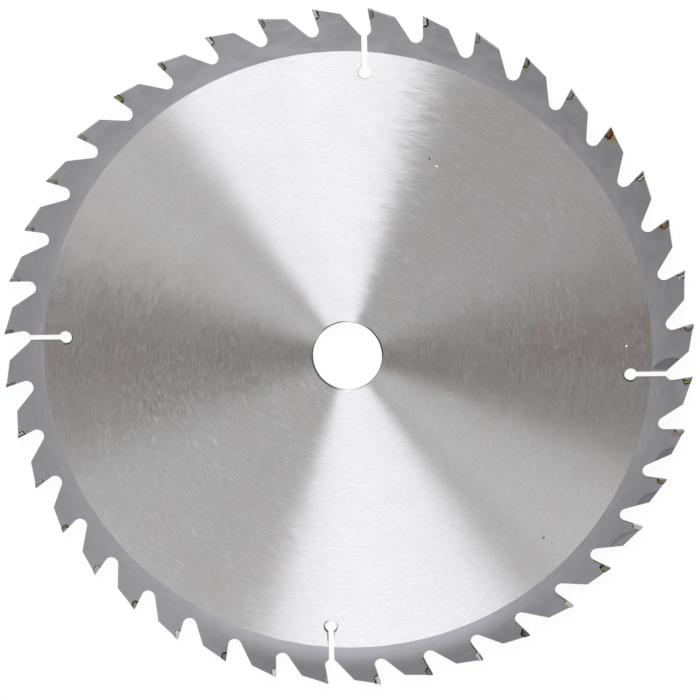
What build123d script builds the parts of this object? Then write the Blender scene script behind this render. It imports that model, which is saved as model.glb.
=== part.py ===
from build123d import *

import os
from math import cos, radians, sqrt, tan

# Circular saw blade for wood. A flat steel plate carries one carbide tip on each tooth,
# brazed into a seat cut in the front of the tooth. Keyhole slots let the hot rim expand,
# and a plain round bore fits the saw's arbor.
#
# The origin is the centre of the bore, halfway through the plate. +Z comes out of the face
# seen in the photograph, and seen from there the blade turns anticlockwise. Tooth 1 has its
# cutting point on +Y, and the teeth are counted anticlockwise.
#
# A tooth is drawn in its own frame: cutting point on +Y, back of the tooth towards +X.
# Lengths are in millimetres and angles in degrees.

# Plate
blade_diameter = 300.0
plate_thickness = 2.2
bore_diameter = 30.0
bore_chamfer = 0.3

# Teeth
tooth_count = 40
gullet_depth = 12.0
gullet_radius = 3.0
hook_angle = 13.0
relief_angle = 14.0
back_angle = 53.0
land_step = 0.1

# Carbide tips. The length is measured down the cutting face, and the thickness square to
# it at the floor of the seat.
kerf = 3.2
tip_length = 4.5
tip_thickness = 1.9
tip_corner_radius = 0.7
top_bevel = 10.0
radial_clearance = 1.5
tangential_clearance = 3.0
seat_back_angle = 17.0
seat_floor_angle = 28.0

# Braze
braze_gap = 0.15

# Expansion slots. The depth runs from the floor of the gullet to the centre of the hole.
slot_count = 4
slot_width = 2.5
slot_depth = 15.2
slot_lean = 4.3
slot_hole_diameter = 5.5

# Stock that a blank has past its ground faces
grinding_stock = 1.0


def heading(angle):
    """Unit vector of the tooth frame, its angle measured from +X towards +Y."""
    return Vector(1, 0).rotate(Axis.Z, angle)


def meet(point_a, along_a, point_b, along_b):
    """The point where two lines cross."""
    across_b = along_b.rotate(Axis.Z, 90)
    return point_a + along_a * ((point_b - point_a).dot(across_b) / along_a.dot(across_b))


# Main lines of a tooth
cutting_radius = blade_diameter / 2
root_radius = cutting_radius - gullet_depth
pitch = 360 / tooth_count
cutting_point = Vector(0, cutting_radius)
down_face = heading(hook_angle - 90)
into_tooth = heading(hook_angle)
along_land = heading(-relief_angle)
down_back = heading(-back_angle)


def on_tooth(index, shape):
    """A shape drawn in the tooth frame, turned to its tooth."""
    return Rot(0, 0, index * pitch) * shape


def high_side(index):
    """Side of the plate that the high corner of a tooth is on: the teeth alternate."""
    return 1 if index % 2 else -1


def gullet_centre():
    """Centre of the gullet circle, which touches the cutting face and the root circle."""
    start = cutting_point - into_tooth * gullet_radius
    reach = root_radius + gullet_radius
    fall = start.dot(down_face)
    return start - down_face * (fall + sqrt(fall**2 - start.dot(start) + reach**2))


def shoulder():
    """Where the land of a tooth ends and its back runs down, tangent to the next gullet."""
    next_gullet = gullet_centre().rotate(Axis.Z, -pitch)
    back_end = next_gullet + heading(270 - back_angle) * gullet_radius
    return meet(cutting_point, along_land, back_end, down_back), back_end


def tooth_edges():
    """Edge of the plate from the gullet in front of a tooth to the start of the next one."""
    centre = gullet_centre()
    land_end, back_end = shoulder()
    sweep = 90 + hook_angle + back_angle - pitch
    gullet = CenterArc(centre, gullet_radius, hook_angle - sweep, sweep)
    rest = Polyline(gullet @ 1, cutting_point, land_end, back_end)
    return [gullet, *rest.edges()]


def seat_profile(gap):
    """Side view of a tip blank with a gap around it, before its face and top are ground."""
    floor_start = cutting_point + down_face * tip_length
    along_floor = heading(seat_floor_angle)
    up_seat = heading(90 + seat_back_angle)
    slant = cos(radians(seat_floor_angle - hook_angle))
    tip_corner = floor_start + along_floor * (tip_thickness / slant)

    on_floor = tip_corner + heading(seat_floor_angle - 90) * gap
    on_back = tip_corner + heading(seat_back_angle) * gap
    corner = meet(on_floor, along_floor, on_back, up_seat)
    mouth = meet(cutting_point, down_face, on_floor, along_floor)
    top = meet(cutting_point, along_land, on_back, up_seat)
    outline = FilletPolyline(
        cutting_point - (into_tooth + down_face) * grinding_stock,
        mouth - along_floor * grinding_stock,
        corner,
        top + up_seat * grinding_stock,
        radius=[0, 0, tip_corner_radius + gap, 0],
        close=True,
    )
    return make_face(outline)


def top_plane(side, drop=0.0):
    """Plane of a tooth's ground top: it falls behind the edge and away from the high side."""
    middle = cutting_point - Vector(0, kerf / 2 * tan(radians(top_bevel)) + drop)
    across = Vector(0, tan(radians(top_bevel)), side)
    return Plane(middle, x_dir=along_land, z_dir=across.cross(along_land) * side)


def grind(blank, side, drop=0.0):
    """Grind a blank's cutting face and its bevelled top."""
    blank = split(blank, Plane(cutting_point, z_dir=into_tooth), keep=Keep.TOP)
    return split(blank, top_plane(side, drop), keep=Keep.BOTTOM)


def blade_plate():
    """The steel plate: bored disc, toothed outline, slots, seats and bevelled lands."""
    disc = Cylinder(cutting_radius, plate_thickness) - Cylinder(bore_diameter / 2, plate_thickness)
    bore_rims = disc.edges().filter_by(GeomType.CIRCLE).group_by(SortBy.RADIUS)[0]
    disc = chamfer(bore_rims, bore_chamfer)

    edges = [on_tooth(index, edge) for index in range(tooth_count) for edge in tooth_edges()]
    slot_teeth = [round(number * tooth_count / slot_count) for number in range(slot_count)]
    outline = make_face(edges) - [on_tooth(index, expansion_slot()) for index in slot_teeth]
    plate = disc & extrude(outline, plate_thickness / 2, both=True)

    seat = extrude(seat_profile(braze_gap), kerf, both=True)
    plate -= [on_tooth(index, seat) for index in range(tooth_count)]
    return plate - [on_tooth(index, land_waste(high_side(index))) for index in range(tooth_count)]


def expansion_slot():
    """Keyhole slot, from the gullet circle to the round hole at its inner end."""
    run = gullet_radius + slot_depth
    hole_centre = gullet_centre() + heading(slot_lean - 90) * run
    cut = Rot(0, 0, slot_lean) * Rectangle(slot_width, run, align=(Align.CENTER, Align.MIN))
    return Pos(hole_centre) * (cut + Circle(slot_hole_diameter / 2))


def land_waste(side):
    """What the wheel takes off the plate behind a tip, a step lower than the tip's own top."""
    land_length = (shoulder()[0] - cutting_point).length
    align = (Align.MIN, Align.CENTER, Align.MIN)
    return top_plane(side, land_step) * Box(land_length + kerf, 2 * kerf, kerf, align=align)


def carbide_tip(side):
    """One tip, with clearance on both sides and its top bevelled down from the high side."""
    tip = grind(extrude(seat_profile(0), kerf, both=True), side)
    lean_back = tan(radians(tangential_clearance))
    lean_in = tan(radians(radial_clearance))
    for face in (1, -1):
        flank = Plane(cutting_point + Vector(0, 0, face * kerf / 2), z_dir=(lean_back, -lean_in, face))
        tip = split(tip, flank, keep=Keep.BOTTOM)
    return tip


def braze_seam(side):
    """Braze that fills the gap between one tip and its seat, flush with the plate."""
    seam = extrude(seat_profile(braze_gap), plate_thickness / 2, both=True)
    return grind(seam, side, land_step) - carbide_tip(side)


os.makedirs("parts", exist_ok=True)
export_step(blade_plate(), "parts/blade_plate.step")

tips = {side: carbide_tip(side) for side in (1, -1)}
seams = {side: braze_seam(side) for side in (1, -1)}
for index in range(tooth_count):
    export_step(on_tooth(index, tips[high_side(index)]), f"parts/carbide_tip_{index + 1:02d}.step")

all_seams = [on_tooth(index, seams[high_side(index)]) for index in range(tooth_count)]
export_step(Compound([solid for seam in all_seams for solid in seam.solids()]), "parts/braze_seams.step")
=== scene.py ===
from math import cos, pi, radians, sin, tan

import bpy
from mathutils import Matrix, Vector, noise


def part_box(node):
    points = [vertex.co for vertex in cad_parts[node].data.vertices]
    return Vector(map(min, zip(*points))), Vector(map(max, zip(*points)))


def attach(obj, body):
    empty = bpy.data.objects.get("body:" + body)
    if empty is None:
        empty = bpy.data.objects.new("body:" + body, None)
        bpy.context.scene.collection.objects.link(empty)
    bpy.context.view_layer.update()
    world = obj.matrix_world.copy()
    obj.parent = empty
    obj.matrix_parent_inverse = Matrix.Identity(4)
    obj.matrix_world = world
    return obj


# A carbide-tipped circular saw blade, lying on a white table and seen from above.
# Lengths are in metres and angles in degrees. The origin is the centre of the bore, as in
# the frame.

MM = 0.001

# Blade. Teeth are numbered as their tips are, anticlockwise from +Y. The tooth frame has the
# tooth's cutting point on +Y and its back towards +X.
TOOTH_COUNT = 40
CUTTING_RADIUS = 150 * MM
CUTTING_POINT = Vector((0, CUTTING_RADIUS, 0))
BORE_RADIUS = 15 * MM
BORE_CHAMFER = 0.3 * MM
PLATE_HALF = 1.1 * MM
KERF_HALF = 1.6 * MM
LAND_STEP = 0.1 * MM

# Ground field. Its circle is a little off the bore's centre.
FIELD_RADIUS = 131.9 * MM
FIELD_CENTRE = (-0.2 * MM, -0.3 * MM, 0.0)
FIELD_EDGE = 0.08 * MM

# Carbide tip, seen from the side
HOOK_ANGLE = 13.0
RELIEF_ANGLE = 14.0
SEAT_BACK_ANGLE = 17.0
SEAT_FLOOR_ANGLE = 28.0
TIP_LENGTH = 4.5 * MM
TIP_THICKNESS = 1.9 * MM
TIP_CORNER_RADIUS = 0.7 * MM
SEAT_FLOOR_LENGTH = TIP_THICKNESS / cos(radians(SEAT_FLOOR_ANGLE - HOOK_ANGLE))
RADIAL_CLEARANCE = 1.5
TANGENTIAL_CLEARANCE = 3.0
TOP_BEVEL = 10.0

# Inner end of an expansion slot, in the frame of its tooth
SLOT_COUNT = 4
SLOT_HOLE = Vector((0.364 * MM, 122.848 * MM, PLATE_HALF))
SLOT_HOLE_RADIUS = 2.75 * MM
SLOT_HALF_WIDTH = 1.25 * MM
SLOT_LEAN = 4.3

# How each tip and its braze look, by tooth number. The bright, light, plain and dull tones of
# the tips are painted highlight and shade on the same grey carbide. Tips that are not listed
# are dull, and braze that is not listed is black oxide.
TIP_TONES = {
    "bright": (2, 4, 18, 20, 40),
    "light": (16, 22, 24, 26, 28),
    "plain": (1, 3, 5, 6, 7, 8, 9, 10, 14, 15, 17, 21, 30, 32, 37, 38, 39),
    "brown": (12, 29, 34, 36),
    "burnt": (25, 35),
}
BRAZE_FINISHES = {
    "clean": (1, 3, 9, 11, 18, 20, 21, 24, 28, 39),
    "cream": (13, 33, 35),
    "pale": (10, 12, 14, 16),
    "straw": (7, 8, 26),
    "olive": (5, 15, 17, 29, 32, 38),
    "brass": (6, 27, 31),
    "amber": (34,),
    "rust": (36,),
    "tan": (30,),
}

# Darker and lighter colour of each tone of tip. The grey tones are painted highlight and shade,
# and the brown tone and the darkest tone are browner and darker.
TONE_COLOURS = {
    "bright": ((0.50, 0.48, 0.48, 1), (1.0, 0.98, 0.98, 1)),
    "light": ((0.38, 0.37, 0.36, 1), (0.78, 0.75, 0.73, 1)),
    "plain": ((0.28, 0.275, 0.27, 1), (0.46, 0.455, 0.45, 1)),
    "dull": ((0.11, 0.11, 0.112, 1), (0.34, 0.34, 0.345, 1)),
    "brown": ((0.11, 0.09, 0.07, 1), (0.40, 0.32, 0.25, 1)),
    "burnt": ((0.03, 0.022, 0.02, 1), (0.30, 0.20, 0.18, 1)),
}

# Clean colour, darker colour, share that is clean, and roughness of each finish of braze. The
# clean colour along a bead's middle is partly a painted highlight, and the darker colour along
# its edges is partly oxide and partly painted shade.
BRAZE_COLOURS = {
    "black": ((0.05, 0.045, 0.04, 1), (0.012, 0.01, 0.008, 1), 0.3, 0.30),
    "clean": ((0.34, 0.33, 0.32, 1), (0.10, 0.095, 0.09, 1), 0.6, 0.40),
    "cream": ((0.62, 0.58, 0.45, 1), (0.03, 0.025, 0.02, 1), 0.5, 0.35),
    "pale": ((0.40, 0.37, 0.31, 1), (0.12, 0.10, 0.08, 1), 0.6, 0.40),
    "straw": ((0.34, 0.32, 0.20, 1), (0.10, 0.09, 0.06, 1), 0.6, 0.40),
    "olive": ((0.14, 0.13, 0.06, 1), (0.025, 0.022, 0.015, 1), 0.3, 0.40),
    "brass": ((0.36, 0.37, 0.06, 1), (0.02, 0.018, 0.01, 1), 0.2, 0.35),
    "amber": ((0.36, 0.22, 0.05, 1), (0.02, 0.015, 0.01, 1), 0.5, 0.35),
    "rust": ((0.22, 0.08, 0.03, 1), (0.015, 0.01, 0.008, 1), 0.3, 0.45),
    "tan": ((0.30, 0.20, 0.13, 1), (0.10, 0.05, 0.03, 1), 0.6, 0.45),
}

# Braze that smeared onto the flank of a tip: its colour, where it starts and ends inward of
# the joint, and how dark the flank is on both sides of it. The near-white cream band is a painted
# highlight of a shiny bead, and the dark on both sides is partly oxide and partly painted shade.
SMEARS_AND_HIGHLIGHTS = {
    "cream": ((0.98, 0.95, 0.88, 1), 0.32 * MM, 0.72 * MM, 0.97),
    "pale": ((0.74, 0.70, 0.60, 1), 0.10 * MM, 0.42 * MM, 0.45),
    "straw": ((0.56, 0.53, 0.34, 1), 0.10 * MM, 0.42 * MM, 0.45),
    "olive": ((0.30, 0.275, 0.13, 1), 0.10 * MM, 0.42 * MM, 0.8),
    "brass": ((0.55, 0.55, 0.10, 1), 0.10 * MM, 0.45 * MM, 0.95),
    "amber": ((0.62, 0.34, 0.07, 1), 0.10 * MM, 0.50 * MM, 0.95),
    "rust": ((0.36, 0.13, 0.035, 1), 0.10 * MM, 0.80 * MM, 0.6),
    "tan": ((0.55, 0.45, 0.39, 1), 0.10 * MM, 0.42 * MM, 0.85),
}

# Braze beads. Widths are in millimetres, heights are shares of the step that a bead fills, and
# a lump is placed by its distance along the bead in millimetres.
HEAVY_BEADS = (27, 31, 35, 36, 40)
THIN_BEADS = (1, 3, 5, 7, 8, 9, 11, 13, 15, 18, 20, 21, 22, 23, 24, 26, 28, 29, 30, 32, 37, 39)
LUMPS = {8: 4.2, 18: 4.6, 22: 0.4, 25: 1.6, 27: 3.2, 36: 3.0}
LUMP_WIDTH = 0.5
LUMP_REACH = 0.8
BEAD_SIZE = 0.9
HEAVY_BEAD_SIZE = 1.25
THIN_BEAD_SIZE = 0.55
BEAD_WIDTH = 0.44
BEAD_WIDTH_SWING = 0.28
BEAD_HEIGHT = 0.62
BEAD_HEIGHT_SWING = 0.3
BEAD_SUNK = 0.03 * MM
BACK_STEPS = 16
CORNER_STEPS = 10
FLOOR_STEPS = 10
ARC_STEPS = 6

# Tints that heat and flux left on the steel behind some tips: tooth, place in the tooth frame
# and radius in millimetres, strength, and tint
RUST = (0.95, 0.55, 0.28, 1)
OLIVE = (0.92, 0.90, 0.55, 1)
BRASS = (0.90, 0.92, 0.15, 1)
VIOLET = (0.90, 0.84, 1.0, 1)
BRAZING_STAINS = (
    (36, 2.4, 147.4, 1.9, 0.95, RUST),
    (36, 3.2, 148.0, 3.2, 0.80, OLIVE),
    (34, 2.0, 145.9, 1.4, 0.80, RUST),
    (32, 1.6, 145.2, 1.0, 0.45, RUST),
    (32, 1.8, 143.9, 0.9, 0.35, RUST),
    (38, 3.0, 145.3, 1.4, 0.45, RUST),
    (30, 2.6, 145.6, 1.5, 0.45, RUST),
    (4, 3.2, 147.6, 1.6, 0.45, OLIVE),
    (39, 2.5, 146.6, 0.9, 1.0, BRASS),
    (6, 2.9, 147.0, 1.1, 0.60, OLIVE),
    (7, 2.0, 146.3, 1.2, 0.70, OLIVE),
    (8, 2.6, 146.0, 1.3, 0.70, OLIVE),
    (31, 3.0, 147.2, 1.2, 0.60, OLIVE),
    (27, 7.5, 147.2, 3.6, 0.12, OLIVE),
    (6, 3.7, 144.9, 1.5, 0.60, VIOLET),
    (10, 4.2, 147.2, 2.0, 0.50, VIOLET),
)

# Contact marks that other blades left on the backs of a few teeth: tooth, centre in the tooth
# frame and radius in millimetres, and how much darker the inside and the rim of each are
CONTACT_MARKS = (
    (3, 9.4, 151.6, 8.8, 0.0, -0.14),
    (28, 14.5, 157.5, 14.8, 0.05, 0.26),
    (29, 15.5, 151.5, 9.6, 0.20, 0.22),
    (30, 16.6, 149.4, 8.3, 0.28, 0.14),
    (32, 23.8, 139.0, 9.8, 0.36, 0.16),
)

# Dust and faint curls on the field: place, thickness and ring radius in millimetres, strength
DUST = (
    (33.3, 85.0, 0.42, 0.0, 1.0),
    (120.0, 12.1, 0.38, 0.0, 1.0),
    (45.2, -15.0, 0.10, 1.6, 0.35),
    (46.6, -16.2, 0.08, 0.9, 0.30),
    (90.0, 10.4, 0.08, 0.9, 0.30),
    (-82.3, -2.8, 0.18, 0.0, 0.5),
    (-86.7, 14.2, 0.08, 0.7, 0.30),
)

# Painted shade lines beside the expansion slots, where their walls fall into shade: tooth,
# offset from its slot's hole in millimetres, and strength
SLOT_SHADE_LINES = (
    (1, -3.0, 0.5, 0.35),
    (11, 3.0, -2.5, 0.9),
    (21, -3.0, 0.0, 1.0),
    (21, -2.0, -4.0, 0.9),
    (21, 3.0, -1.0, 0.75),
    (31, -2.0, -3.0, 0.9),
)

# Faint tints of the field: azimuth from +X towards +Y, half width, radius in millimetres where
# the tint starts to show, strength, and tint
FIELD_TINTS = (
    (7.0, 5.5, 45, 1.0, (0.93, 0.83, 0.82, 1)),
    (183.0, 7.0, 20, 0.8, (1.0, 0.96, 0.94, 1)),
    (160.0, 8.0, 30, 0.8, (1.0, 0.99, 0.96, 1)),
    (222.0, 18.0, 20, 1.0, (0.99, 1.0, 1.005, 1)),
    (38.0, 16.0, 20, 1.0, (1.0, 0.995, 1.01, 1)),
)

# Directions in which the scratches are livelier, the cutting faces have a thin dark line and
# the bore's rim has painted dark reflections: azimuth from +X towards +Y, half width, and strength
LIVELY_SCRATCHES = ((42.0, 42.0, 1.0), (225.0, 50.0, 1.0))
DARK_FACE_LINES = ((293.0, 10.0, 1.0), (319.0, 8.0, 0.4))
BORE_DARK_REFLECTIONS = ((32.0, 24.0, 1.0), (212.0, 44.0, 0.65), (117.0, 16.0, 0.8))

# Nearly black, for painted shade beside the slots and along the bore's lower rim, painted dark
# reflections round the bore, and the thin dark lines along some cutting faces
NEAR_BLACK = (0.01, 0.01, 0.01, 1.0)

# Camera
CAMERA_AIM = (0.00096, 0.00252, 0.0)
CAMERA_DISTANCE = 1.0591
CAMERA_TURN = -6.61
CAMERA_TILT = -11.60
CAMERA_ROLL = 10.07
CAMERA_LENS = 125.54
CAMERA_SENSOR = 36.0
CAMERA_SIGHT = 300.0

# Studio. A softbox has its azimuth from +X towards +Y, elevation, width and power.
FLOOR_RADIUS = 90.0
FLOOR_CORNERS = 96
FLOOR_GLOW = 0.94
WORLD_COLOUR = (1.08, 1.0, 0.87, 1)
WORLD_STRENGTH = 0.155
SOFTBOX_COLOUR = (0.93, 0.945, 1.0)
SOFTBOX_DISTANCE = 1.6
SOFTBOX_HEIGHT = 0.55
SOFTBOXES = {
    "key_right": (92.5, 25.0, 0.83, 22.4),
    "key_left": (123.6, 34.0, 0.69, 12.5),
    "fill_left_138": (138.0, 28.0, 0.42, 1.2),
    "fill_left_149": (149.0, 28.0, 0.42, 1.7),
    "fill_left_160": (160.0, 28.0, 0.42, 1.45),
    "fill_left_170": (170.0, 28.0, 0.42, 1.4),
    "fill_left_182": (182.0, 28.0, 0.42, 0.75),
    "fill_front_left": (235.0, 27.0, 1.05, 3.6),
    "fill_front": (278.0, 27.0, 1.05, 9.8),
    "fill_front_right": (319.0, 25.0, 0.62, 4.2),
    "top": (258.0, 65.0, 0.95, 2.0),
}


class Nodes:
    """A material's node tree, with short ways to add and join its nodes."""

    def __init__(self, name):
        self.material = bpy.data.materials.new(name)
        self.material.use_nodes = True
        self.tree = self.material.node_tree
        self.tree.nodes.clear()
        self.place = self.add("ShaderNodeTexCoord").outputs["Object"]
        self.x, self.y, self.z = self.split(self.place)
        self.radius = self.math("SQRT", self.math("ADD", self.square(self.x), self.square(self.y)))

    def add(self, kind, **settings):
        node = self.tree.nodes.new(kind)
        for key, value in settings.items():
            setattr(node, key, value)
        return node

    def feed(self, socket, value):
        if isinstance(value, bpy.types.NodeSocket):
            self.tree.links.new(value, socket)
        else:
            socket.default_value = value

    def math(self, operation, *values, clamp=False):
        node = self.add("ShaderNodeMath", operation=operation, use_clamp=clamp)
        for socket, value in zip(node.inputs, values):
            self.feed(socket, value)
        return node.outputs[0]

    def square(self, value):
        return self.math("MULTIPLY", value, value)

    def about_zero(self, value, width):
        """A value that lies between 0 and 1, moved to lie about 0 and scaled to a width."""
        return self.math("MULTIPLY", self.math("SUBTRACT", value, 0.5), width)

    def vector_math(self, operation, *values):
        node = self.add("ShaderNodeVectorMath", operation=operation)
        for socket, value in zip(node.inputs, values):
            self.feed(socket, value)
        return node.outputs["Value" if operation in ("DISTANCE", "DOT_PRODUCT") else "Vector"]

    def scaled(self, vector, factor):
        return self.vector_math("MULTIPLY", vector, self.combine(factor, factor, factor))

    def range(self, value, low, high, to_low=0.0, to_high=1.0):
        """A smooth step from to_low, at low and beyond it, to to_high, at high and beyond it."""
        node = self.add("ShaderNodeMapRange", interpolation_type="SMOOTHSTEP")
        for socket, item in zip(node.inputs, (value, low, high, to_low, to_high)):
            self.feed(socket, item)
        return node.outputs[0]

    def noise(self, vector, scale, detail=2.0, roughness=0.5):
        node = self.add("ShaderNodeTexNoise")
        self.feed(node.inputs["Vector"], vector)
        node.inputs["Scale"].default_value = scale
        node.inputs["Detail"].default_value = detail
        node.inputs["Roughness"].default_value = roughness
        return node.outputs["Fac"]

    def combine(self, x, y, z):
        node = self.add("ShaderNodeCombineXYZ")
        for socket, value in zip(node.inputs, (x, y, z)):
            self.feed(socket, value)
        return node.outputs[0]

    def split(self, vector):
        node = self.add("ShaderNodeSeparateXYZ")
        self.feed(node.inputs[0], vector)
        return node.outputs

    def ring_place(self, along, across):
        """Coordinates that stretch a texture along circles round the bore."""
        x = self.math("DIVIDE", self.x, along)
        y = self.math("DIVIDE", self.y, along)
        return self.combine(x, y, self.math("DIVIDE", self.radius, across))

    def tooth_place(self, count=TOOTH_COUNT):
        """Position in the frame of the nearest of so many teeth, spaced evenly from tooth 1."""
        pitch = 2 * pi / count
        angle = self.math("ARCTAN2", self.x, self.y)
        turn = self.math("MULTIPLY", self.math("ROUND", self.math("DIVIDE", angle, pitch)), pitch)
        rotate = self.add("ShaderNodeVectorRotate", rotation_type="Z_AXIS")
        self.feed(rotate.inputs["Vector"], self.place)
        self.feed(rotate.inputs["Angle"], turn)
        return rotate.outputs[0]

    def reach(self, place, start, direction):
        """Distance from a point, counted along a direction."""
        offset = self.vector_math("SUBTRACT", place, start)
        return self.vector_math("DOT_PRODUCT", offset, direction)

    def around(self):
        """Direction along the circles round the bore."""
        return self.add("ShaderNodeTangent", direction_type="RADIAL", axis="Z").outputs[0]

    def mix(self, share, first, second):
        node = self.add("ShaderNodeMix", data_type="RGBA")
        self.feed(node.inputs[0], share)
        self.feed(node.inputs[6], first)
        self.feed(node.inputs[7], second)
        return node.outputs[2]

    def tinted(self, share, colour, tint):
        """The colour, multiplied by a tint where the share is 1."""
        node = self.add("ShaderNodeMix", data_type="RGBA", blend_type="MULTIPLY")
        self.feed(node.inputs[0], share)
        self.feed(node.inputs[6], colour)
        self.feed(node.inputs[7], tint)
        return node.outputs[2]

    def bump(self, height, distance):
        node = self.add("ShaderNodeBump")
        node.inputs["Distance"].default_value = distance
        self.feed(node.inputs["Height"], height)
        return node.outputs[0]

    def principled(self, **values):
        node = self.add("ShaderNodeBsdfPrincipled")
        for key, value in values.items():
            self.feed(node.inputs[key.replace("_", " ")], value)
        return node.outputs[0]

    def blend(self, share, first, second):
        node = self.add("ShaderNodeMixShader")
        for socket, value in zip(node.inputs, (share, first, second)):
            self.feed(socket, value)
        return node.outputs[0]

    def finish(self, shader):
        output = self.add("ShaderNodeOutputMaterial")
        self.tree.links.new(shader, output.inputs["Surface"])
        return self.material


def grey(value):
    return (value, value, value, 1.0)


def heading(angle):
    return Vector((cos(radians(angle)), sin(radians(angle)), 0))


def seat_corner():
    """Inner corner of a tip, before it is rounded, in the tooth frame."""
    floor_start = CUTTING_POINT + heading(HOOK_ANGLE - 90) * TIP_LENGTH
    return floor_start + heading(SEAT_FLOOR_ANGLE) * SEAT_FLOOR_LENGTH


def on_tooth(number, point):
    """A point of the tooth frame, turned to its tooth."""
    return Matrix.Rotation(2 * pi * (number - 1) / TOOTH_COUNT, 3, "Z") @ point


def on_plate(number, x, y):
    """A place on a tooth's front face, from millimetres of the tooth frame."""
    return on_tooth(number, Vector((x * MM, y * MM, PLATE_HALF)))


def disc(n, centre, radius, soft):
    """1 inside a circle on the front face, 0 outside it, with an edge that wanders a little."""
    away = n.vector_math("DISTANCE", n.place, centre)
    away = n.math("ADD", away, n.about_zero(n.noise(n.place, 700.0), radius))
    return n.range(away, radius + soft, radius - soft)


def toward(n, azimuth, half_width):
    """1 near a direction from the bore, and 0 away from it."""
    along = n.math("DIVIDE", n.vector_math("DOT_PRODUCT", n.place, heading(azimuth)), n.radius)
    return n.range(along, cos(radians(1.5 * half_width)), cos(radians(0.5 * half_width)))


def directions(n, table):
    """The strongest share that a table of directions gives."""
    share = 0.0
    for azimuth, half_width, strength in table:
        near = n.math("MULTIPLY", toward(n, azimuth, half_width), strength)
        share = n.math("MAXIMUM", share, near)
    return share


def contact_marks(n, colour):
    shade = 1.0
    for number, x, y, radius, fill, edge in CONTACT_MARKS:
        away = n.vector_math("DISTANCE", n.place, on_plate(number, x, y))
        wander = n.about_zero(n.noise(n.place, 900.0, 3.0), 1.6 * MM)
        away = n.math("SUBTRACT", n.math("ADD", away, wander), radius * MM)
        # The mark ends at the back of its own tooth.
        behind = n.vector_math("DOT_PRODUCT", n.place, on_tooth(number, Vector((1, 0, 0))))
        away = n.math("ADD", away, n.range(behind, 18.0 * MM, 19.0 * MM, 0.0, 10 * MM))
        inside = n.range(away, 0.3 * MM, -0.3 * MM, 0.0, fill)
        rim = n.range(n.math("ABSOLUTE", away), 0.9 * MM, 0.1 * MM, 0.0, edge)
        shade = n.math("SUBTRACT", n.math("SUBTRACT", shade, inside), rim)
    return n.scaled(colour, shade)


def brazing_stains(n, colour):
    for number, x, y, radius, strength, tint in BRAZING_STAINS:
        share = disc(n, on_plate(number, x, y), radius * MM, 0.5 * radius * MM)
        colour = n.tinted(n.math("MULTIPLY", share, strength), colour, tint)
    return colour


def dust(n):
    """The strength of the dust and curls at a place, 0 where there are none."""
    share = 0.0
    for x, y, thickness, ring, strength in DUST:
        away = n.vector_math("DISTANCE", n.place, (x * MM, y * MM, PLATE_HALF))
        away = n.math("ADD", away, n.about_zero(n.noise(n.place, 600.0), 0.8 * ring * MM))
        away = n.math("ABSOLUTE", n.math("SUBTRACT", away, ring * MM))
        outside = (thickness + 0.12) * MM
        inside = (thickness - 0.08) * MM
        share = n.math("MAXIMUM", share, n.range(away, outside, inside, 0.0, strength))
    return share


def field_tints(n, colour, patches):
    for azimuth, half_width, start, strength, tint in FIELD_TINTS:
        outward = n.range(n.radius, start * MM, (start + 60) * MM)
        patchy = n.range(patches, 0.3, 0.6, 0.6 * strength, strength)
        share = n.math("MULTIPLY", toward(n, azimuth, half_width), outward)
        colour = n.tinted(n.math("MULTIPLY", share, patchy), colour, tint)
    return colour


def painted_slot_shade(n):
    """The strength of the painted shade lines beside parts of the slots and their holes."""
    place = n.tooth_place(SLOT_COUNT)
    beside = n.math("ABSOLUTE", n.reach(place, SLOT_HOLE, heading(SLOT_LEAN)))
    above = n.reach(place, SLOT_HOLE, heading(SLOT_LEAN + 90))
    from_centre = n.vector_math("DISTANCE", place, SLOT_HOLE)
    from_hole = n.math("SUBTRACT", from_centre, SLOT_HOLE_RADIUS)
    from_slot = n.math("SUBTRACT", beside, SLOT_HALF_WIDTH)
    from_slot = n.math("ADD", from_slot, n.range(above, 0.0, -1 * MM, 0.0, 5 * MM))
    near = n.math("MINIMUM", n.math("ABSOLUTE", from_hole), n.math("ABSOLUTE", from_slot))
    line = n.range(near, 0.60 * MM, 0.25 * MM)
    strongest = 0.0
    # The painted shade is strongest near the listed spots.
    for number, x, y, strength in SLOT_SHADE_LINES:
        spot = on_tooth(number, SLOT_HOLE) + Vector((x * MM, y * MM, 0))
        away = n.vector_math("DISTANCE", n.place, spot)
        shade_near_spot = n.range(away, 4.5 * MM, 2.0 * MM, 0.0, strength)
        strongest = n.math("MAXIMUM", strongest, shade_near_spot)
    return n.math("MULTIPLY", line, strongest)


def dark_face_line(n, behind_face):
    """The strength of the thin dark line along the cutting faces of a few teeth."""
    line = n.range(n.math("ABSOLUTE", behind_face), 0.38 * MM, 0.22 * MM)
    broken = n.range(n.noise(n.place, 450.0, 2.0), 0.38, 0.50)
    above_gullet = n.math("GREATER_THAN", n.radius, CUTTING_RADIUS - 9.5 * MM)
    line = n.math("MULTIPLY", n.math("MULTIPLY", line, broken), above_gullet)
    return n.math("MULTIPLY", line, directions(n, DARK_FACE_LINES))


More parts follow.
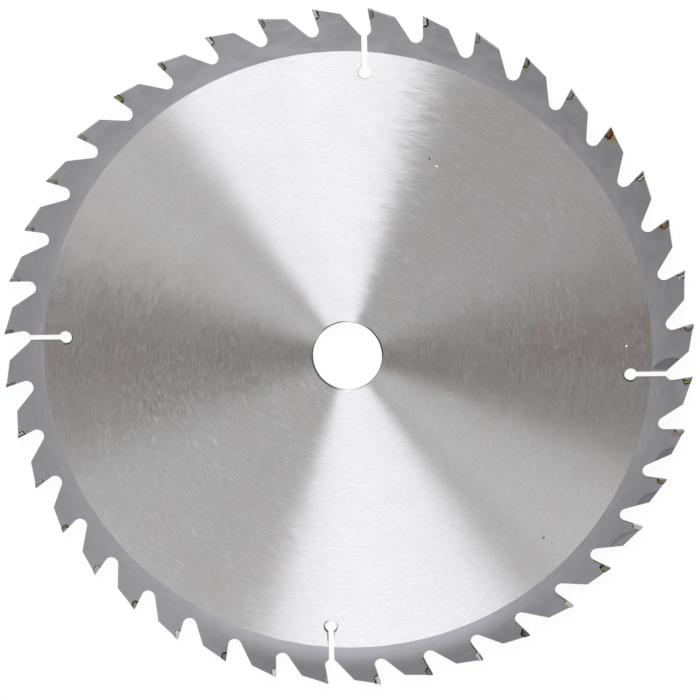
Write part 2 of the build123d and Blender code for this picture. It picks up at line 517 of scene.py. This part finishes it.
def ground_field(n, normal, clouds, bore_dark_reflection):
    """Fine circular scratches that fan the light, with coarser ones that scatter it."""
    streaks = n.noise(n.ring_place(3.2 * MM, 0.68 * MM), 1.0, 2.0, 0.6)
    relief = n.bump(streaks, 0.002 * MM)
    lively = directions(n, LIVELY_SCRATCHES)
    dash = n.range(n.noise(n.ring_place(5 * MM, 0.45 * MM), 1.0, 1.0), 0.60, 0.76)
    dash = n.math("MULTIPLY", dash, n.math("ADD", n.math("MULTIPLY", lively, 0.8), 0.2))

    dark_speck = disc(n, (30.1 * MM, 88.0 * MM, PLATE_HALF), 0.35 * MM, 0.12 * MM)
    ochre_speck = disc(n, (90.6 * MM, -75.7 * MM, PLATE_HALF), 0.5 * MM, 0.25 * MM)
    # Painted dark reflections on the face round parts of the bore's edge, and painted shade beside
    # the slots, both nearly black.
    at_bore = n.range(n.radius, BORE_RADIUS + 0.68 * MM, BORE_RADIUS + 0.46 * MM)
    burnt = n.math("MAXIMUM", n.math("MULTIPLY", bore_dark_reflection, at_bore), painted_slot_shade(n))

    colour = n.mix(n.range(streaks, 0.3, 0.7), grey(0.725), grey(0.795))
    colour = field_tints(n, colour, clouds)
    colour = n.mix(dash, colour, grey(0.95))
    colour = n.mix(dark_speck, colour, (0.02, 0.015, 0.015, 1))
    colour = n.mix(ochre_speck, colour, (0.30, 0.12, 0.03, 1))
    colour = n.mix(burnt, colour, NEAR_BLACK)

    around = n.around()
    outward = n.vector_math("CROSS_PRODUCT", around, normal)
    sway = n.about_zero(n.noise(n.ring_place(8 * MM, 0.7 * MM), 1.0, 2.0, 0.6), 0.24)
    fine = n.principled(
        Base_Color=colour,
        Metallic=1.0,
        Roughness=n.range(clouds, 0.3, 0.7, 0.36, 0.39),
        Anisotropic=1.0,
        Anisotropic_Rotation=0.25,
        Tangent=n.vector_math("ADD", around, n.scaled(outward, sway)),
        Normal=relief,
    )
    worn = n.range(n.noise(n.ring_place(28 * MM, 16 * MM), 1.0, 2.0), 0.4, 0.65)
    coarse = n.principled(
        Base_Color=n.mix(worn, (0.86, 0.83, 0.80, 1), (0.78, 0.64, 0.58, 1)),
        Metallic=1.0,
        Roughness=0.55,
        Normal=relief,
    )

    flecks = n.add("ShaderNodeTexVoronoi")
    n.feed(flecks.inputs["Vector"], n.ring_place(8 * MM, 4 * MM))
    flecks.inputs["Scale"].default_value = 1.0
    fleck_size = n.range(n.split(flecks.outputs["Color"])[0], 0.5, 1.0, 0.0, 0.08)
    fleck = n.math("LESS_THAN", flecks.outputs["Distance"], fleck_size)
    swing = n.range(n.noise(n.ring_place(30 * MM, 14 * MM), 1.0, 2.0), 0.38, 0.62, 0.06, 0.14)
    swing = n.math("MULTIPLY", swing, n.math("ADD", n.math("MULTIPLY", lively, 0.8), 0.7))
    share = n.math("MULTIPLY", n.range(streaks, 0.3, 0.7, -0.5, 0.5), swing)
    share = n.math("ADD", share, n.range(clouds, 0.2, 0.8, 0.07, 0.11))
    share = n.math("ADD", share, n.math("MULTIPLY", dash, 0.08))
    share = n.math("ADD", share, n.math("MULTIPLY", fleck, 0.2), clamp=True)
    marked = n.math("ADD", n.math("ADD", dark_speck, ochre_speck), burnt)
    share = n.math("SUBTRACT", share, marked, clamp=True)
    scratched = n.blend(share, fine, coarse)
    return n.blend(dust(n), scratched, n.principled(Base_Color=grey(0.92), Roughness=0.9))


def satin_rim(n, clouds):
    """A blasted rim, a little darker outward, with stains and marks round the teeth. Toward 278°
    it has a painted highlight along its inner edge and painted shade further out, and toward 322°
    it is darker.
    """
    lines = n.noise(n.ring_place(6 * MM, 2.0 * MM), 1.0, 3.0, 0.6)
    darker = (0.412, 0.406, 0.428, 1)
    lighter = (0.464, 0.458, 0.482, 1)
    colour = n.mix(n.range(lines, 0.2, 0.8), darker, lighter)
    fade = n.range(n.radius, FIELD_RADIUS - 2 * MM, FIELD_RADIUS + 10 * MM, 1.10, 0.97)
    # Painted highlight and shade toward 278°: lighter along the rim's inner edge, darker further
    # out.
    front = n.range(n.radius, FIELD_RADIUS + 1 * MM, FIELD_RADIUS + 12 * MM, 1.14, 0.62)
    front = n.math("MULTIPLY", toward(n, 278.0, 26.0), n.math("SUBTRACT", front, 1.0))
    fade = n.math("MULTIPLY", fade, n.math("ADD", 1.0, front))
    # Darker toward 322°.
    fade = n.math("SUBTRACT", fade, n.math("MULTIPLY", toward(n, 322.0, 18.0), 0.13))
    colour = contact_marks(n, brazing_stains(n, n.scaled(colour, fade)))
    behind_face = n.reach(n.tooth_place(), CUTTING_POINT, heading(HOOK_ANGLE))
    return n.principled(
        Base_Color=n.mix(dark_face_line(n, behind_face), colour, NEAR_BLACK),
        Metallic=1.0,
        Roughness=n.range(clouds, 0.3, 0.7, 0.47, 0.53),
        Anisotropic=0.22,
        Anisotropic_Rotation=0.25,
        Tangent=n.around(),
        Normal=n.bump(n.noise(n.place, 3500.0, 2.0), 0.004 * MM),
    )


def cut_edge(n, normal, lines):
    """Edges that are dark, partly oxide from cutting and partly painted shade, and brighter on the
    ground lands behind the tips.
    """
    radial = n.vector_math("NORMALIZE", n.combine(n.x, n.y, 0.0))
    faces_out = n.range(n.vector_math("DOT_PRODUCT", normal, radial), 0.80, 0.90)
    at_teeth = n.math("GREATER_THAN", n.radius, CUTTING_RADIUS - 6 * MM)
    # Near-black walls, partly oxide from cutting and partly painted shade.
    dark = n.mix(lines, grey(0.03), grey(0.08))
    ground = n.mix(lines, grey(0.34), grey(0.46))
    return n.principled(
        Base_Color=n.mix(n.math("MULTIPLY", faces_out, at_teeth), dark, ground),
        Metallic=1.0,
        Roughness=n.range(lines, 0.3, 0.7, 0.38, 0.52),
        Normal=n.bump(lines, 0.01 * MM),
    )


def bore_wall(n, upright, lines, bore_dark_reflection):
    """A bright turned wall with darker chamfers, painted dark reflections on parts of them and
    painted shade along the lower rim.
    """
    turned = n.mix(lines, grey(0.62), grey(0.74))
    colour = n.mix(n.range(upright, 0.3, 0.6), turned, grey(0.22))
    # Painted shade along the lower rim of the bore wall, next to the table.
    lower_start = 0.39 * MM - PLATE_HALF
    lower_full = 0.30 * MM - PLATE_HALF
    shaded_lower_rim = n.range(n.z, lower_start, lower_full, 0.0, 0.8)
    return n.principled(
        Base_Color=n.mix(n.math("MAXIMUM", bore_dark_reflection, shaded_lower_rim), colour, NEAR_BLACK),
        Metallic=0.8,
        Roughness=n.range(lines, 0.3, 0.7, 0.28, 0.40),
        Normal=n.bump(lines, 0.002 * MM),
    )


def plate_material():
    n = Nodes("ground_steel")
    normal = n.add("ShaderNodeNewGeometry").outputs["Normal"]
    upright = n.math("ABSOLUTE", n.split(normal)[2])
    clouds = n.noise(n.ring_place(9 * MM, 6 * MM), 1.0, 3.0, 0.55)
    lines = n.noise(n.combine(n.x, n.y, n.math("MULTIPLY", n.z, 0.05)), 7000.0, 2.0)
    bore_dark_reflection = directions(n, BORE_DARK_REFLECTIONS)

    from_centre = n.vector_math("DISTANCE", n.combine(n.x, n.y, 0.0), FIELD_CENTRE)
    beyond_field = n.range(from_centre, FIELD_RADIUS - FIELD_EDGE, FIELD_RADIUS + FIELD_EDGE)
    flat = n.blend(beyond_field, ground_field(n, normal, clouds, bore_dark_reflection), satin_rim(n, clouds))
    in_bore = n.math("LESS_THAN", n.radius, BORE_RADIUS + 2 * BORE_CHAMFER)
    wall = n.blend(in_bore, cut_edge(n, normal, lines), bore_wall(n, upright, lines, bore_dark_reflection))
    return n.finish(n.blend(n.range(upright, 0.8, 0.7), flat, wall))


def carbide_material(tone, finish):
    """Ground carbide, with the braze that smeared onto its flank along the joint."""
    n = Nodes(f"carbide_{tone}_{finish}")
    place = n.tooth_place()
    behind_face = n.reach(place, CUTTING_POINT, heading(HOOK_ANGLE))
    down_face = n.reach(place, CUTTING_POINT, heading(HOOK_ANGLE - 90))
    across_lines = n.math("DIVIDE", behind_face, 0.16 * MM)
    along_lines = n.math("DIVIDE", down_face, 3 * MM)
    lines = n.noise(n.combine(across_lines, along_lines, n.z), 1.0)
    patches = n.noise(n.place, 1100.0, 3.0, 0.6)
    mottle = n.math("ADD", lines, n.math("MULTIPLY", patches, 0.5))
    # The tone paints the tip's highlight and shade: bright, light, plain and dull are one carbide,
    # lit and shaded.
    colour = n.mix(n.range(mottle, 0.55, 0.95), *TONE_COLOURS[tone])

    to_back = n.reach(place, seat_corner(), -heading(SEAT_BACK_ANGLE))
    to_floor = n.reach(place, seat_corner(), -heading(SEAT_FLOOR_ANGLE - 90))
    inward = n.math("MINIMUM", to_back, to_floor)
    inward = n.math("ADD", inward, n.about_zero(patches, 0.7 * MM))
    line_width = 0.18 * MM if finish == "black" else 0.10 * MM
    line_strength = 1.0
    if finish in SMEARS_AND_HIGHLIGHTS:
        smear_and_highlight, start, end, line_strength = SMEARS_AND_HIGHLIGHTS[finish]
        # A dark outline, partly oxide and partly painted shade, then the band of smear colour,
        # which for cream is a painted highlight.
        outline = n.range(inward, end + 0.38 * MM, end + 0.26 * MM, 0.0, line_strength)
        colour = n.mix(outline, colour, (0.03, 0.025, 0.02, 1))
        before_end = n.range(inward, end + 0.12 * MM, end)
        past_start = n.range(inward, start - 0.1 * MM, start)
        off_face = n.range(behind_face, 0.4 * MM, 0.8 * MM)
        band = n.math("MULTIPLY", n.math("MULTIPLY", before_end, past_start), off_face)
        colour = n.mix(band, colour, smear_and_highlight)
    line = n.range(inward, line_width + 0.1 * MM, line_width - 0.05 * MM, 0.0, line_strength)
    colour = n.mix(line, colour, (0.015, 0.012, 0.01, 1))
    return n.finish(n.principled(
        Base_Color=n.mix(dark_face_line(n, behind_face), colour, NEAR_BLACK),
        Metallic=1.0,
        Roughness=n.range(lines, 0.3, 0.7, 0.40, 0.50),
        Anisotropic=0.2,
        Anisotropic_Rotation=0.25,
        Tangent=n.around(),
        Normal=n.bump(lines, 0.002 * MM),
    ))


def braze_material(finish):
    """Braze that is clean along the middle of a bead, partly as a painted highlight, and darker
    along its edges, partly oxide and partly painted shade.
    """
    clean, burnt, clean_share, roughness = BRAZE_COLOURS[finish]
    n = Nodes("braze_" + finish)
    across = n.add("ShaderNodeAttribute", attribute_name="across").outputs["Fac"]
    # The bead's middle takes the clean colour, partly a painted highlight; its edges take the
    # darker colour, partly oxide and partly painted shade.
    clean_and_highlit_middle = n.range(n.math("ABSOLUTE", n.math("SUBTRACT", across, 0.45)), 0.42, 0.25)
    least = 0.72 - 0.5 * clean_share
    patches = n.range(n.noise(n.place, 900.0, 4.0, 0.65), least, least + 0.10)
    share = n.math("MULTIPLY", clean_and_highlit_middle, patches)
    return n.finish(n.principled(
        Base_Color=n.mix(share, burnt, clean),
        Metallic=0.9,
        Roughness=n.range(share, 0.0, 1.0, roughness + 0.2, roughness),
        Normal=n.bump(n.noise(n.place, 2600.0, 3.0), 0.02 * MM),
    ))


def floor_material():
    """White paper that keeps the blade's shadow. Cameras and gloss see it near full white."""
    n = Nodes("white_table")
    colour = n.mix(n.noise(n.place, 900.0), grey(0.92), grey(0.94))
    paper = n.principled(Base_Color=colour, Roughness=0.9, Specular_IOR_Level=0.0)
    glow = n.add("ShaderNodeEmission")
    seen = n.add("ShaderNodeLightPath").outputs
    direct = n.math("MAXIMUM", seen["Is Camera Ray"], seen["Is Glossy Ray"])
    direct = n.math("MAXIMUM", direct, seen["Is Transmission Ray"])
    return n.finish(n.blend(n.math("MULTIPLY", direct, FLOOR_GLOW), paper, glow.outputs[0]))


def bead_line(drop):
    """Points and outward directions round a tip, from the top of its back to its cutting face.

    The drop is how far the plate's top lies below the cutting point."""
    corner = seat_corner()
    up_back = heading(90 + SEAT_BACK_ANGLE)
    square_to_land = heading(90 - RELIEF_ANGLE)
    to_top = CUTTING_POINT - Vector((0, drop, 0)) - corner
    rise = to_top.dot(square_to_land) / up_back.dot(square_to_land)
    half_turn = radians((90 + SEAT_FLOOR_ANGLE - SEAT_BACK_ANGLE) / 2)
    cut = TIP_CORNER_RADIUS / tan(half_turn)
    to_centre = heading(135 + (SEAT_BACK_ANGLE + SEAT_FLOOR_ANGLE) / 2)
    centre = corner + to_centre * (TIP_CORNER_RADIUS / sin(half_turn))

    line = []
    for step in range(BACK_STEPS):
        share = step / BACK_STEPS
        reach = rise * (1 - share) + cut * share
        line.append((corner + up_back * reach, heading(SEAT_BACK_ANGLE)))
    for step in range(CORNER_STEPS):
        share = step / CORNER_STEPS
        angle = SEAT_BACK_ANGLE + (SEAT_FLOOR_ANGLE - 90 - SEAT_BACK_ANGLE) * share
        line.append((centre + heading(angle) * TIP_CORNER_RADIUS, heading(angle)))
    for step in range(FLOOR_STEPS + 1):
        reach = cut + (SEAT_FLOOR_LENGTH - cut) * step / FLOOR_STEPS
        point = corner - heading(SEAT_FLOOR_ANGLE) * reach
        line.append((point, heading(SEAT_FLOOR_ANGLE - 90)))
    return line


def bead_size(number):
    if number in HEAVY_BEADS:
        return HEAVY_BEAD_SIZE
    return THIN_BEAD_SIZE if number in THIN_BEADS else BEAD_SIZE


def bead_sections(number, side):
    """Cross-sections of the braze that stands in the step between a tip's flank and the plate.

    Each is a list of points, with their share of the way across the bead."""
    high_side = 1 if number % 2 == 0 else -1
    fall = KERF_HALF - side * high_side * PLATE_HALF
    drop = LAND_STEP + fall * tan(radians(TOP_BEVEL))
    travelled = 0.0
    before = None
    sections = []
    for point, outward in bead_line(drop):
        travelled += (point - before).length / MM if before else 0.0
        before = point
        seed = Vector((travelled, number * 5.3, side * 2.1))
        width = (BEAD_WIDTH + BEAD_WIDTH_SWING * noise.noise(seed)) * bead_size(number)
        if number in LUMPS:
            near = max(0.0, 1 - abs(travelled - LUMPS[number]) / LUMP_REACH)
            width += LUMP_WIDTH * near ** 0.5
        width *= MM
        step = KERF_HALF - tan(radians(TANGENTIAL_CLEARANCE)) * point.x - PLATE_HALF
        step += tan(radians(RADIAL_CLEARANCE)) * (point.y - CUTTING_RADIUS)
        height = step * (BEAD_HEIGHT + BEAD_HEIGHT_SWING * noise.noise(seed * 1.3))

        profile = []
        for turn in range(ARC_STEPS + 1):
            angle = pi / 2 * turn / ARC_STEPS
            profile.append((sin(angle) * (width + BEAD_SUNK) - BEAD_SUNK, cos(angle) * height))
        profile += [(width, -BEAD_SUNK), (-BEAD_SUNK, -BEAD_SUNK)]
        section = []
        for out, up in profile:
            spot = on_tooth(number, point + outward * out)
            section.append((spot.x, spot.y, side * (PLATE_HALF + up), max(0.0, out / width)))
        sections.append(section)
    return sections


def add_beads(name, numbers, material):
    """The braze beads of several teeth, on both faces of the plate."""
    points, faces = [], []
    for number in numbers:
        for side in (1, -1):
            sections = bead_sections(number, side)
            corners = len(sections[0])
            start = len(points)
            for section in sections:
                points += section
            end = len(points)
            bead_faces = []
            for row in range(start, end - corners, corners):
                for corner in range(corners):
                    a = row + corner
                    b = row + (corner + 1) % corners
                    bead_faces.append((a + corners, b + corners, b, a))
            bead_faces.append(tuple(range(start, start + corners)))
            bead_faces.append(tuple(range(end - 1, end - corners - 1, -1)))
            faces += bead_faces if side > 0 else [face[::-1] for face in bead_faces]
    mesh = bpy.data.meshes.new(name)
    mesh.from_pydata([point[:3] for point in points], [], faces)
    across = mesh.attributes.new("across", "FLOAT", "POINT")
    across.data.foreach_set("value", [point[3] for point in points])
    mesh.materials.append(material)
    mesh.shade_smooth()
    mesh.set_sharp_from_angle(angle=radians(50))
    beads = bpy.data.objects.new(name, mesh)
    bpy.context.collection.objects.link(beads)
    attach(beads, "root")


def paint(names, material):
    for name in names:
        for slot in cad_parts[name].material_slots:
            slot.material = material


def listed(table, number, other):
    """The name whose numbers in a table include this one, or else the other name."""
    for name, numbers in table.items():
        if number in numbers:
            return name
    return other


def add_floor(height):
    """A round table top, wide enough to fill the view from any side."""
    rim = []
    for corner in range(FLOOR_CORNERS):
        angle = 2 * pi * corner / FLOOR_CORNERS
        rim.append((FLOOR_RADIUS * cos(angle), FLOOR_RADIUS * sin(angle), height))
    mesh = bpy.data.meshes.new("floor")
    mesh.from_pydata(rim, [], [tuple(range(FLOOR_CORNERS))])
    mesh.materials.append(floor_material())
    floor = bpy.data.objects.new("floor", mesh)
    bpy.context.collection.objects.link(floor)


def add_softbox(name, azimuth, elevation, width, power):
    """A rectangular lamp that faces the bore."""
    data = bpy.data.lights.new(name, "AREA")
    data.shape = "RECTANGLE"
    data.size = width
    data.size_y = SOFTBOX_HEIGHT
    data.energy = power
    data.color = SOFTBOX_COLOUR
    lamp = bpy.data.objects.new(name, data)
    bpy.context.collection.objects.link(lamp)
    turn = Matrix.Rotation(radians(azimuth), 4, "Z") @ Matrix.Rotation(radians(-elevation), 4, "Y")
    lamp.location = turn @ Vector((SOFTBOX_DISTANCE, 0, 0))
    lamp.rotation_euler = lamp.location.to_track_quat("Z", "Y").to_euler()


def add_world():
    world = bpy.data.worlds.new("studio")
    bpy.context.scene.world = world
    world.use_nodes = True
    background = world.node_tree.nodes["Background"]
    background.inputs["Color"].default_value = WORLD_COLOUR
    background.inputs["Strength"].default_value = WORLD_STRENGTH


def add_camera():
    data = bpy.data.cameras.new("camera")
    data.sensor_width = CAMERA_SENSOR
    data.lens = CAMERA_LENS
    data.clip_end = CAMERA_SIGHT
    camera = bpy.data.objects.new("camera", data)
    bpy.context.collection.objects.link(camera)
    camera.matrix_world = (
        Matrix.Translation(CAMERA_AIM)
        @ Matrix.Rotation(radians(CAMERA_TURN), 4, "Z")
        @ Matrix.Rotation(radians(CAMERA_TILT), 4, "X")
        @ Matrix.Rotation(radians(CAMERA_ROLL), 4, "Z")
        @ Matrix.Translation((0, 0, CAMERA_DISTANCE))
    )
    bpy.context.scene.camera = camera


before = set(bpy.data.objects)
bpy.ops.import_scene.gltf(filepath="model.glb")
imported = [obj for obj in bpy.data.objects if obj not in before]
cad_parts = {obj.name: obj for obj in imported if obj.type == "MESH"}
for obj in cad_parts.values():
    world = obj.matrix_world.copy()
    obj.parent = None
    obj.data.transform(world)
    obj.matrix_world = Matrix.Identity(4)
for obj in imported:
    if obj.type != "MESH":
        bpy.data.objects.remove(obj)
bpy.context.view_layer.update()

# Steel, carbide and braze
tips = {number: f"carbide_tip_{number:02d}" for number in range(1, TOOTH_COUNT + 1)}
looks = {}
for number in tips:
    looks[number] = (listed(TIP_TONES, number, "dull"), listed(BRAZE_FINISHES, number, "black"))
paint(["blade_plate"], plate_material())
for look in sorted(set(looks.values())):
    paint([tips[number] for number in tips if looks[number] == look], carbide_material(*look))
for finish in BRAZE_COLOURS:
    braze = braze_material(finish)
    numbers = [number for number in tips if looks[number][1] == finish]
    add_beads("braze_beads_" + finish, numbers, braze)
    if finish == "black":
        paint(["braze_seams"], braze)

# Studio
add_floor(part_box(tips[1])[0][2])
add_world()
for name, settings in SOFTBOXES.items():
    add_softbox(name, *settings)
add_camera()
bpy.context.scene.view_settings.view_transform = "Standard"
